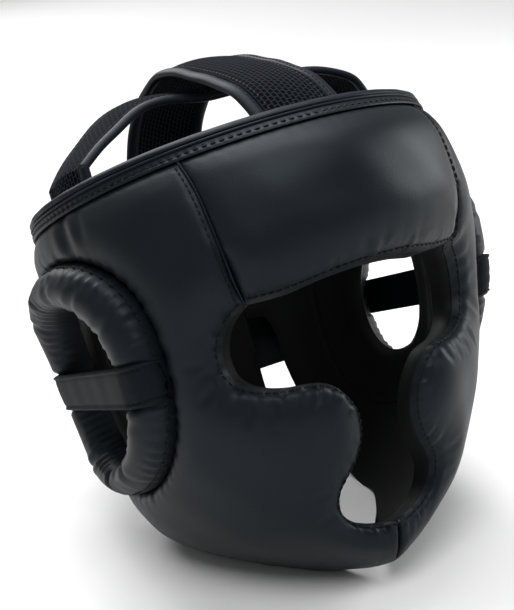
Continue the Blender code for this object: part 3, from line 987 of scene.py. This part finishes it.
@dataclass
class SidePanel:
    """Temple, cheek and chin in one padded panel, with an oval cut round the ear."""

    side: Side
    ear_outer: Row = (94.0, 37.0, 0.4107, 0.279, 2.4)
    ear_hole: Row = (93.5, 22.0, 0.4150, 0.183, 2.2)
    ring_full: float = 1.28
    # Angle in degrees, drop / height, edge thickness share, roll share
    outline: tuple[Row, ...] = (
        (38.2, 0.0491, 0.85, 0.4), (37.1, 0.134, 0.88, 0.3), (35.9, 0.246, 0.88, 0.3),
        (34.7, 0.366, 0.50, 0.8), (38.0, 0.380, 0.42, 1.0), (41.3, 0.402, 0.42, 1.0),
        (43.4, 0.433, 0.42, 1.0), (44.0, 0.469, 0.42, 1.0), (43.0, 0.500, 0.42, 1.0),
        (40.0, 0.525, 0.42, 1.0), (36.0, 0.541, 0.42, 1.0), (30.0, 0.554, 0.42, 1.0),
        (25.0, 0.559, 0.42, 1.0), (20.5, 0.565, 0.42, 1.0), (17.0, 0.578, 0.42, 1.0),
        (14.0, 0.600, 0.42, 1.0), (11.5, 0.629, 0.42, 1.0), (10.2, 0.660, 0.42, 1.0),
        (10.3, 0.692, 0.42, 1.0), (12.0, 0.727, 0.42, 1.0), (15.2, 0.759, 0.42, 1.0),
        (19.0, 0.785, 0.42, 1.0), (22.3, 0.808, 0.42, 1.0), (24.2, 0.835, 0.42, 1.0),
        (24.4, 0.857, 0.42, 1.0), (21.5, 0.880, 0.42, 1.0), (14.0, 0.898, 0.42, 1.0),
        (6.0, 0.907, 0.42, 1.0), (0.12, 0.910, 0.60, 0.8), (0.12, 1.004, 0.60, 0.8),
        (18.0, 1.006, 0.40, 0.9), (40.0, 1.000, 0.40, 0.9), (55.0, 0.996, 0.40, 0.9),
        (65.0, 0.983, 0.40, 0.9), (76.0, 0.957, 0.40, 0.9), (86.0, 0.925, 0.40, 0.9),
        (98.0, 0.890, 0.40, 0.9), (112.0, 0.866, 0.40, 0.9), (122.0, 0.831, 0.40, 0.9),
        (131.0, 0.772, 0.40, 0.8), (138.0, 0.705, 0.40, 0.8), (143.0, 0.643, 0.42, 0.8),
        (147.0, 0.576, 0.45, 0.7), (149.6, 0.500, 0.45, 0.7), (150.5, 0.400, 0.50, 0.7),
        (153.0, 0.365, 0.60, 0.6), (159.9, 0.350, 0.85, 0.4), (159.9, 0.0491, 0.85, 0.4),
        (140.0, 0.0491, 0.85, 0.4),
        (115.0, 0.0491, 0.85, 0.4), (90.0, 0.0491, 0.85, 0.4), (65.0, 0.0491, 0.85, 0.4),
        (50.0, 0.0491, 0.85, 0.4),
    )

    def panel(self) -> Pad:
        """The panel with its sewn rows and creases."""
        folds = (
            Fold((77.5, 0.045), (74.5, 0.150), 0.0016, 0.0040),
            Fold((70.0, 0.060), (69.0, 0.115), 0.0007, 0.0030),
            Fold((38.5, 0.560), (40.5, 0.600), 0.0010, 0.0020),
            Fold((33.0, 0.575), (34.0, 0.605), 0.0009, 0.0018),
            Fold((27.5, 0.583), (28.0, 0.612), 0.0008, 0.0017),
            Fold((22.0, 0.590), (23.5, 0.615), 0.0008, 0.0016),
            Fold((47.0, 0.455), (51.0, 0.450), 0.0008, 0.0022),
            Fold((46.0, 0.505), (50.0, 0.530), 0.0009, 0.0022),
            Fold((26.5, 0.800), (31.0, 0.795), 0.0008, 0.0020),
            Fold((28.0, 0.850), (33.0, 0.855), 0.0008, 0.0020),
        )
        return Pad(f"side_panel_{self.side.name.lower()}", self.outline, self.side,
                   [oval_rows(self.ear_outer, 0.72, 0.5)], folds=folds,
                   rows=(EdgeRow("brow_seam", 0, 3, inset=0.0022, groove=0.0004),
                         EdgeRow("face_edge", 3, 28, inset=0.0013, groove=0.0003)), seed=1.7)

    def ring(self) -> Pad:
        """The raised roll round the ear, with the creases of its bent foam."""
        middle, half, drop, tall, _ = self.ear_outer
        inner_half, inner_tall = self.ear_hole[1], self.ear_hole[3]
        folds = []
        # Turn round the ring in degrees (270 is its top), crease depth in mm, reach across the roll
        for turn, deep, reach in ((205, 1.2, 0.75), (228, 1.5, 0.8), (250, 1.2, 0.7), (276, 1.6, 0.8),
                                  (305, 1.0, 0.6), (50, 2.0, 0.9), (84, 2.2, 0.9), (112, 1.4, 0.7),
                                  (150, 0.9, 0.6), (0, 0.7, 0.5)):
            c, s = math.cos(math.radians(turn)), math.sin(math.radians(turn))
            near = (middle + (inner_half + 0.5) * c, drop + (inner_tall + 0.004) * s)
            far_half = inner_half + (half - inner_half) * reach
            far_tall = inner_tall + (tall - inner_tall) * reach
            bend = 0.10 * (half - inner_half)
            far = (middle + far_half * c - bend * s, drop + far_tall * s)
            folds.append(Fold(near, far, deep * MM, 0.0026))
        folds.append(Belt())
        return Pad(f"ear_ring_{self.side.name.lower()}",
                   oval_rows(self.ear_outer, 0.75, 0.5, 0.0003), self.side,
                   [oval_rows(self.ear_hole, 0.35, 0.5)], full=self.ring_full, folds=folds,
                   rows=(EdgeRow("seam", 0, -1, inset=0.0011, groove=0.0004),),
                   seam_pucker=0.0006, pucker=0.0004, cell=0.0017, wall_bulge=0.0080, seed=2.9)

    def build(self, shell: Shell, finishes: Finishes) -> None:
        """Build the panel, the ring and the strap over it."""
        self.panel().build(shell, finishes)
        ring = self.ring()
        ring.build(shell, finishes)
        EarStrap(self.side).build(ring, shell, finishes)


@dataclass
class EarStrap:
    """A flat strap with turned edges, pulled tight over the ear ring from crease to crease."""

    side: Side
    drops: tuple[float, float] = (0.0925, 0.0770)
    angles: tuple[float, float] = (57.4, 130.7)
    tall: float = 0.0205
    thick: float = 0.0022
    lift: float = 0.0011
    edge_roll: float = 0.0016
    stitch_inset: float = 0.0027
    stations: int = 70

    def hull(self, ring: Pad, edge: np.ndarray, cell_shade: np.ndarray, below: float,
             shell: Shell) -> np.ndarray:
        """Plan view of one level of the strap pulled tight over the ring.

        Args:
            ring: The ring.
            edge: All the ring's outline points.
            cell_shade: The outline of its hole.
            below: Distance below the strap's top edge.
            shell: The shell.

        Returns:
            Evenly spaced plan points for the wearer's left side.
        """
        angle = np.radians(np.arange(self.angles[0], self.angles[1], 0.4))
        share = (np.degrees(angle) - self.angles[0]) / (self.angles[1] - self.angles[0])
        drop = self.drops[0] + (self.drops[1] - self.drops[0]) * share + below
        flat = np.stack([self.side.value * angle * shell.arc_radius, -drop], axis=1)
        keep = Pad.within(flat, edge[:len(edge) - len(cell_shade)]) & ~Pad.within(flat, cell_shade)
        depth = ring.pillow(flat, edge)
        profile = shell.head_point(angle, drop, depth)[keep, :2]
        hull: list[np.ndarray] = []
        for point in profile:
            while len(hull) > 1:
                a, b = hull[-1] - hull[-2], point - hull[-1]
                if a[0] * b[1] - a[1] * b[0] > 0:
                    break
                hull.pop()
            hull.append(point)
        path = np.array(hull)
        return resample(path, np.linspace(0, arc_lengths(path)[-1], self.stations))

    def build(self, ring: Pad, shell: Shell, finishes: Finishes) -> None:
        """Build the strap with its two sewn rows."""
        loops = [ring.curved(shell.flat(rows, self.side)) for rows in (ring.outline, *ring.holes)]
        edge = np.concatenate(loops)
        rim = np.array((0, 0.0003, 0.0008, 0.0014, 0.0021, 0.0027, 0.0034, 0.0045, 0.0062, 0.0085))
        below = np.concatenate([rim, [self.tall / 2], self.tall - rim[::-1]])
        inside_edge = np.minimum(below, self.tall - below)
        swell = np.sqrt(1 - (1 - np.clip(inside_edge / self.edge_roll, 0, 1)) ** 2)
        swell += 0.30 * np.exp(-(((inside_edge - 0.0013) / 0.0008) ** 2))
        swell -= 0.28 * np.exp(-(((inside_edge - self.stitch_inset) / 0.0006) ** 2))
        swell += 0.18 * np.clip(inside_edge / 0.008, 0, 1)
        plans = np.array([self.hull(ring, edge, loops[1], level, shell) for level in below])
        run = np.gradient(plans, axis=1)
        out = np.stack([run[..., 1], -run[..., 0]], axis=2)
        out /= np.linalg.norm(out, axis=2, keepdims=True)
        share = np.linspace(0, 1, self.stations)
        ripple = 0.00025 * np.sin(share * 31) * np.sin(share * 13)
        top = self.drops[0] + (self.drops[1] - self.drops[0]) * share
        down = -(top[None, :] + below[:, None])
        tuck = 0.0035 * np.clip(1 - np.minimum(share, 1 - share) / 0.05, 0, 1) ** 2
        tuck += Belt.depth * np.clip(np.minimum(share, 1 - share) / 0.12, 0, 1)

        def placed(lift: np.ndarray) -> np.ndarray:
            """Head-frame points of a face at a height over the hull."""
            plan = plans + out * (lift - tuck[None, :])[..., None]
            return np.stack([self.side.value * plan[..., 0], plan[..., 1], down], axis=2)

        under = placed(self.lift + 0 * below[:, None] + 0 * share[None, :])
        over = placed(self.lift + self.thick * swell[:, None] + ripple[None, :])
        rings = np.concatenate([under, over[::-1]], axis=0).transpose(1, 0, 2)
        name = f"ear_strap_{self.side.name.lower()}"
        points, faces = sweep(shell.rest(rings), False)
        make_piece(name, points, faces, [finishes.strap], [name])
        side_out = np.stack([self.side.value * out[..., 0], out[..., 1], 0 * out[..., 0]], axis=2)
        for label, level in (("top", 5), ("bottom", len(below) - 6)):
            path, way = shell.rest(over[level][3:-3]), shell.turned(side_out[level][3:-3])
            Stitching().sew(f"{name}_stitches_{label}", path, way, finishes.thread)


@dataclass
class NapePad:
    """The pad behind the head, between the two side panels."""

    half: tuple[Row, ...] = (
        (180.0, 0.0491, 0.85, 0.4), (160.2, 0.0491, 0.85, 0.4), (160.2, 0.350, 0.85, 0.4),
        (160.2, 0.500, 0.45, 0.7), (161.0, 0.670, 0.40, 0.8), (165.0, 0.728, 0.40, 0.8),
        (171.0, 0.754, 0.40, 0.8), (180.0, 0.760, 0.40, 0.8),
    )

    def build(self, shell: Shell, finishes: Finishes) -> None:
        """Build the pad with two creases across it and its sewn edge rows."""
        outline = list(self.half) + [(360 - a, d, lip, roll) for a, d, lip, roll in self.half[-2:0:-1]]
        folds = (Fold((164, 0.36), (196, 0.36), 0.0018, 0.0035, 0.3),
                 Fold((163, 0.56), (197, 0.56), 0.0014, 0.0035, 0.3))
        Pad("back_pad", outline, folds=folds, seed=3.6,
            rows=(EdgeRow("seam_left", 1, 2, inset=0.0030, groove=0.0005),
                  EdgeRow("lower_edge", 2, 12, inset=0.0016, groove=0.0003),
                  EdgeRow("seam_right", 12, 13, inset=0.0030, groove=0.0005))).build(shell, finishes)


@dataclass
class ClosureStrap:
    """The wide strap behind the head; its two ends overlap and hold by hook and loop."""

    drops: tuple[float, float] = (0.0735, 0.1110)
    angles: tuple[float, float] = (134.5, 225.5)
    thick: float = 0.0035
    depth: float = 1.035
    overlap: tuple[float, float] = (159.0, 0.0013)
    stations: int = 150

    def build(self, shell: Shell, finishes: Finishes) -> None:
        """Build the strap, its overlap and its sewn rows."""
        tall = self.drops[1] - self.drops[0]
        rim = np.array((0, 0.0003, 0.0008, 0.0014, 0.0021, 0.0032, 0.0036, 0.0041, 0.0055, 0.009))
        below = np.concatenate([rim, [tall / 2], tall - rim[::-1]])
        inset = np.minimum(below, tall - below)
        swell = 0.25 + 0.75 * np.sqrt(1 - (1 - np.clip(inset / 0.0016, 0, 1)) ** 2)
        swell -= 0.16 * np.exp(-(((inset - 0.0036) / 0.0006) ** 2))
        rings, middle, outs = [], [], []
        for angle in np.radians(np.linspace(*self.angles, self.stations)):
            turn, drop = np.full(len(below), angle), self.drops[0] + below
            under = shell.head_point(turn, drop, np.full(len(below), self.depth))
            way = unit(under - shell.head_point(turn, drop, np.zeros(len(below))))
            step = 1 / (1 + math.exp(-(math.degrees(angle) - self.overlap[0]) * 3))
            thick = self.thick * 0.9 + self.overlap[1] * step
            ends = min(math.degrees(angle) - self.angles[0], self.angles[1] - math.degrees(angle))
            thick *= 0.45 + 0.55 * math.sqrt(min(1.0, ends / 1.2))
            over = under + way * (thick * swell)[:, None]
            rings.append(np.concatenate([under, over[::-1]]))
            middle.append(over)
            outs.append(way)
        points, faces = sweep(shell.rest(np.array(rings)), False)
        make_piece("closure_strap", points, faces, [finishes.leather], ["closure_strap"])
        faces_out, ways = np.array(middle), np.array(outs)
        for label, level in (("top", 6), ("bottom", len(below) - 7)):
            Stitching().sew(f"closure_strap_stitches_{label}", shell.rest(faces_out[2:-2, level]),
                            shell.turned(ways[2:-2, level]), finishes.thread)
        for label, station in (("end", 6), ("overlap", 46), ("far_end", self.stations - 7)):
            Stitching().sew(f"closure_strap_stitches_{label}", shell.rest(faces_out[station, 6:-6]),
                            shell.turned(ways[station, 6:-6]), finishes.thread)


@dataclass
class RimStrips:
    """The rolled binding round the head opening and the puckered band that is sewn below it."""

    frame_stations: ClassVar[int] = 60
    rim_height: float = 0.011
    binding_height: float = 0.0045
    gap: float = 0.0003
    stations: int = 640
    stitch_drop: float = 0.0083
    pucker_pitch: float = 0.0042

    def binding_section(self) -> tuple[tuple[float, float], ...]:
        """Corners of the frame's rim binding: depth share and drop."""
        high = self.binding_height
        return ((0.0, high), (1.02, high), (1.12, high * 0.6), (0.98, high * 0.15),
                (0.7, 0.0), (0.3, 0.0), (0.0, high * 0.3))

    def loop(self, name: str, section: Callable[[float], np.ndarray], shell: Shell,
             finish: bpy.types.Material) -> None:
        """One strip all round the rim.

        Args:
            name: The frame node that it stands for.
            section: Depth share and drop of its corners at a distance round the rim.
            shell: The shell.
            finish: The strip's finish.
        """
        rings = []
        for turn in np.linspace(0, 2 * math.pi, self.stations, endpoint=False):
            depth, drop = section(turn * 0.106).T
            rings.append(shell.head_point(np.full(len(depth), turn), drop, depth))
        points, faces = sweep(shell.rest(np.array(rings)), True)
        make_piece(name, points, faces, [finish], [name], sharp=60.0)

    def rolled(self, run: float) -> np.ndarray:
        """The binding's rounded section, drawn in a little at each stitch."""
        turn = np.linspace(0, 2 * math.pi, 24, endpoint=False)
        wave = [np.sign(f(turn)) * np.abs(f(turn)) ** 0.75 for f in (np.cos, np.sin)]
        soft = 0.012 * math.sin(run / 0.0031) + 0.016 * math.sin(run / 0.0113)
        depth = 0.555 + (0.585 + soft) * wave[0]
        drop = self.binding_height / 2 - 0.00005 - (self.binding_height / 2 + 0.00015) * wave[1]
        return np.stack([depth, drop], axis=1)

    def puckered(self, run: float) -> np.ndarray:
        """The band's section, dented at each stitch."""
        high, low = self.binding_height + 0.0002, self.rim_height - self.gap
        drops = np.linspace(low, high, 12)
        dent = 0.5 + 0.5 * math.cos(2 * math.pi * run / self.pucker_pitch)
        face = 1.005 - 0.055 * dent * np.exp(-(((drops - self.stitch_drop) / 0.0011) ** 2))
        face -= 0.050 * np.exp(-(((drops - low) / 0.0007) ** 2))
        face -= 0.060 * np.exp(-(((drops - high) / 0.0008) ** 2))
        outer = np.stack([face, drops], axis=1)
        return np.concatenate([[(0.0, low), (0.5, low)], outer, [(0.5, high), (0.0, high)]])

    def build(self, shell: Shell, finishes: Finishes) -> None:
        """Build the binding, the band, the piping between them and the stitches."""
        self.loop("rim_binding", self.rolled, shell, finishes.rolled)
        self.loop("rim_band", self.puckered, shell, finishes.leather)
        turn = np.linspace(0, 2 * math.pi, self.stations, endpoint=False)
        for name, drop, depth, size in (("rim_piping", self.binding_height + 0.0006, 1.03, 0.0015),
                                        ("rim_lining_piping", self.binding_height, 0.0, 0.0014)):
            down = np.full_like(turn, drop)
            path = shell.rest(shell.head_point(turn, down, np.full_like(turn, depth)))
            tube(name, path, shell.outward(turn, down), size, size, finishes.rolled, True)
        down = np.full_like(turn, self.stitch_drop)
        path = shell.rest(shell.head_point(turn, down, np.full_like(turn, 0.99)))
        Stitching(pitch=self.pucker_pitch).sew("rim_band_stitches", path, shell.outward(turn, down),
                                               finishes.thread)
        path = shell.rest(shell.head_point(turn, np.full_like(turn, 0.0012), np.full_like(turn, 0.90)))
        out = shell.outward(turn, down) + (0.0, 0.0, 0.8)
        Stitching(pitch=0.0040).sew("rim_binding_stitches", path, unit(out), finishes.thread)


@dataclass
class CrownStraps:
    """Two crossed straps of spacer mesh over the crown, each with a rolled binding per edge."""

    half_width: float = 0.0175
    thick: float = 0.003
    binding: tuple[float, float] = (0.0070, 0.0044)
    bend: float = 0.093
    rise: float = 0.056
    inset: float = 0.0042
    gap: float = 0.0003
    side_start: float = -0.0065
    side_bow: float = 0.110
    side_lean: float = 18.0
    long_shift: float = 0.003
    stations: int = 170
    # Place along the span from -1 to 1, rise / rise
    side_arch: tuple[Row, ...] = ((-1, -0.16), (-1, 0), (-0.97, 0.25), (-0.49, 0.75), (0, 0.75),
                                  (0.56, 0.76), (0.91, 0.50), (1, 0), (1, -0.16))
    long_arch: tuple[Row, ...] = ((-1, -0.16), (-1, 0), (-0.83, 0.36), (-0.47, 0.72), (0, 1.03),
                                  (0.47, 0.93), (0.84, 0.57), (1, 0), (1, -0.16))

    def arch(self, rows: Sequence[Row]) -> tuple[np.ndarray, np.ndarray]:
        """Side view of a strap from its table: place along the span, and rise in metres."""
        table = np.array(rows)
        steps = np.arange(len(table), dtype=float)
        at = np.linspace(0, len(table) - 1, self.stations)
        level = np.clip(smooth(at, steps, table[:, 0]), -1, 1)
        return level, smooth(at, steps, table[:, 1]) * self.rise

    def strap(self, name: str, path: np.ndarray, plan: np.ndarray, lean: np.ndarray,
              tails: tuple[str, str], shell: Shell, finishes: Finishes) -> None:
        """Build one strap.

        Args:
            name: The frame node of its mesh band.
            path: Its centreline in the head frame.
            plan: Its direction seen from above.
            lean: Turn of its section about the path, in radians.
            tails: Name endings of its two bindings.
            shell: The shell.
            finishes: The materials.
        """
        along = unit(np.gradient(path, axis=0))
        plan = unit(plan)
        across = np.stack([plan[:, 1], -plan[:, 0], 0 * plan[:, 0]], axis=1)
        out = np.cross(across, along)
        out *= np.sign((out * (path - (0, 0, -0.03))).sum(axis=1))[:, None]
        c, s = np.cos(lean)[:, None], np.sin(lean)[:, None]
        across, out = across * c - out * s, out * c + across * s
        run = arc_lengths(path)

        def bent(side: float, lift: float | np.ndarray) -> np.ndarray:
            """Line at a distance to the side of the centreline, bent over the head."""
            rise = lift - side * side / (2 * self.bend)
            return path + across * side + out * (rise * np.ones(len(path)))[:, None]

        half = self.half_width
        spots = np.linspace(-half, half, 19)
        quilt = 0.00025 * np.sin(run / 0.0085) * np.ones(len(path))
        lines, marks = [], []
        for spot in spots:
            edge = self.thick / 2 * (0.78 + 0.22 * math.cos(math.pi * spot / half * 0.5))
            groove = 0.0006 * math.exp(-(((abs(spot) - half + 0.0024) / 0.0009) ** 2))
            lines.append(bent(float(spot), edge - groove + quilt * (1 - abs(spot) / half)))
            marks.append(spot)
        for spot in spots[::-1]:
            lines.append(bent(float(spot), -self.thick / 2))
            marks.append(spot)
        rings = np.array(lines).transpose(1, 0, 2)
        points, faces = sweep(shell.rest(rings), False)
        uv = np.stack([np.repeat(run, len(marks)), np.tile(np.array(marks), len(run))], axis=1) / MM
        make_piece(name, points, faces, [finishes.mesh], [name], uv=uv)
        wide, high = self.binding
        for side, tail in ((-1, tails[0]), (1, tails[1])):
            middle = side * (half + self.gap + wide / 2)
            pulse = 0.00018 * np.sin(run / 0.0047) + 0.00012 * np.sin(run / 0.0113 + side)
            line = bent(middle, pulse)
            wall = bent(middle + 0.0005, pulse) - bent(middle - 0.0005, pulse)
            normal = unit(np.cross(unit(wall), along))
            normal *= np.sign((normal * out).sum(axis=1))[:, None]
            node = f"crown_binding_{tail}"
            tube(node, shell.rest(line), shell.turned(normal), wide, high, finishes.rolled,
                 stands_for=[node])
            row = bent(side * (half - 0.0024), self.thick / 2 * 0.8 - 0.0004)
            Stitching(pitch=0.0034).sew(f"{node}_stitches", shell.rest(row)[4:-4],
                                        shell.turned(out)[4:-4], finishes.thread)
            cord = bent(middle - side * wide * 0.24, pulse + high * 0.40)
            Stitching(pitch=0.0034, thickness=0.0003).sew(
                f"{node}_edge_stitches", shell.rest(cord)[4:-4], shell.turned(out)[4:-4],
                finishes.thread)

    def build(self, shell: Shell, finishes: Finishes) -> None:
        """Build the side strap and, over it, the front-to-back strap."""
        level, rise = self.arch(self.side_arch)
        left = shell.half_width * 0.834 - self.inset
        share = (level + 1) / 2
        x = -left + 2 * left * share
        y = self.side_start + self.side_bow * share * (1 - share) * 2 * left
        plan = np.stack([np.ones(len(share)), self.side_bow * (1 - 2 * share)], axis=1)
        lean = math.radians(self.side_lean) * (1 - level**2)
        self.strap("crown_strap_side", np.stack([x, y, rise], axis=1), plan, lean,
                   ("side_rear", "side_front"), shell, finishes)
        level, rise = self.arch(self.long_arch)
        front = -shell.front_depth * 0.692 + self.inset
        back = shell.back_depth * 0.842 - self.inset
        y = front + (back - front) * (level + 1) / 2
        plan = np.tile((0.0, 1.0), (len(y), 1))
        self.strap("crown_strap_front_back",
                   np.stack([np.full(len(y), self.long_shift), y, rise], axis=1), plan, 0 * y,
                   ("long_right", "long_left"), shell, finishes)


@dataclass
class PhotoCamera:
    """The camera, placed in the head frame as the photograph was taken."""

    azimuth: float = -25.8
    elevation: float = -3.0
    roll: float = -18.5
    distance: float = 0.684
    aim: tuple[float, float, float] = (0.0, 0.0, -0.095)
    slide: tuple[float, float] = (-0.0112, 0.0138)
    focal_pixels: float = 1268.4
    frame_pixels: tuple[int, int] = (514, 610)
    sensor: float = 36.0

    def build(self, shell: Shell) -> None:
        """Make the camera and set it as the scene's own."""
        a, e, r = (math.radians(v) for v in (self.azimuth, self.elevation, self.roll))
        back = np.array((math.sin(a) * math.cos(e), -math.cos(a) * math.cos(e), math.sin(e)))
        right = np.array((math.cos(a), math.sin(a), 0.0))
        up = np.cross(back, right)
        turned_right = right * math.cos(r) + up * math.sin(r)
        turned_up = up * math.cos(r) - right * math.sin(r)
        place = (np.array(self.aim) + turned_right * self.slide[0] + turned_up * self.slide[1]
                 + back * self.distance)
        data = bpy.data.cameras.new("photo_camera")
        data.sensor_width = self.sensor
        data.lens = self.focal_pixels / max(self.frame_pixels) * self.sensor
        data.clip_start, data.clip_end = 0.05, 30.0
        item = bpy.data.objects.new("photo_camera", data)
        bpy.context.scene.collection.objects.link(item)
        columns = [shell.turned(v) for v in (turned_right, turned_up, back)]
        matrix = Matrix([[*(float(c[k]) for c in columns)] for k in range(3)]).to_4x4()
        matrix.translation = Vector(shell.turned(place) - shell.offset)
        item.matrix_world = matrix
        bpy.context.scene.camera = item


@dataclass
class Studio:
    """White paper floor, a large soft key from the upper left and gentle fills."""

    floor_size: float = 9.0
    world_strength: float = 0.20
    target: tuple[float, float, float] = (0.0, 0.0, 0.12)
    # Name, place, size and power in watts
    lamps: tuple[tuple[str, tuple[float, float, float], float, float], ...] = (
        ("key", (-0.40, -0.85, 1.65), 1.1, 21.0),
        ("top", (0.15, 0.35, 1.6), 1.2, 18.0),
        ("right_edge", (1.35, -0.25, 0.55), 0.8, 14.0),
        ("left_fill", (-1.4, -0.1, 0.9), 0.9, 0.8),
        ("backdrop", (0.0, 2.9, 2.2), 2.4, 100.0),
    )

    def build(self) -> None:
        """Make the floor, the world light and the lamps."""
        half = self.floor_size / 2
        mesh = bpy.data.meshes.new("studio_floor")
        mesh.from_pydata([(-half, -half, -0.0002), (half, -half, -0.0002),
                          (half, half, -0.0002), (-half, half, -0.0002)], [], [(0, 1, 2, 3)])
        mesh.materials.append(StudioPaper().material())
        floor = bpy.data.objects.new("studio_floor", mesh)
        bpy.context.scene.collection.objects.link(floor)
        world = bpy.data.worlds.new("studio")
        world.use_nodes = True
        sky = world.node_tree.nodes["Background"]
        sky.inputs["Color"].default_value = linear("#ffffff")
        sky.inputs["Strength"].default_value = self.world_strength
        bpy.context.scene.world = world
        bpy.context.scene.view_settings.view_transform = "Standard"
        for name, place, size, power in self.lamps:
            data = bpy.data.lights.new(f"lamp_{name}", "AREA")
            data.shape, data.size, data.energy = "DISK", size, power
            lamp = bpy.data.objects.new(f"lamp_{name}", data)
            bpy.context.scene.collection.objects.link(lamp)
            lamp.location = place
            lamp.rotation_euler = (Vector(place) - Vector(self.target)).to_track_quat("Z", "Y").to_euler()


def main() -> None:
    """Load the frame, dress it, light it and set up the camera."""
    logging.basicConfig(level=logging.INFO, format="%(name)s %(message)s")
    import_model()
    shell = seated_shell()
    LOG.info("shell seated at %s", shell.offset.round(6))
    finishes = Finishes()
    BrowPad().build(shell, finishes)
    for side in Side:
        SidePanel(side).build(shell, finishes)
    NapePad().build(shell, finishes)
    ClosureStrap().build(shell, finishes)
    RimStrips().build(shell, finishes)
    CrownStraps().build(shell, finishes)
    Studio().build()
    PhotoCamera().build(shell)


if __name__ == "__main__":
    main()
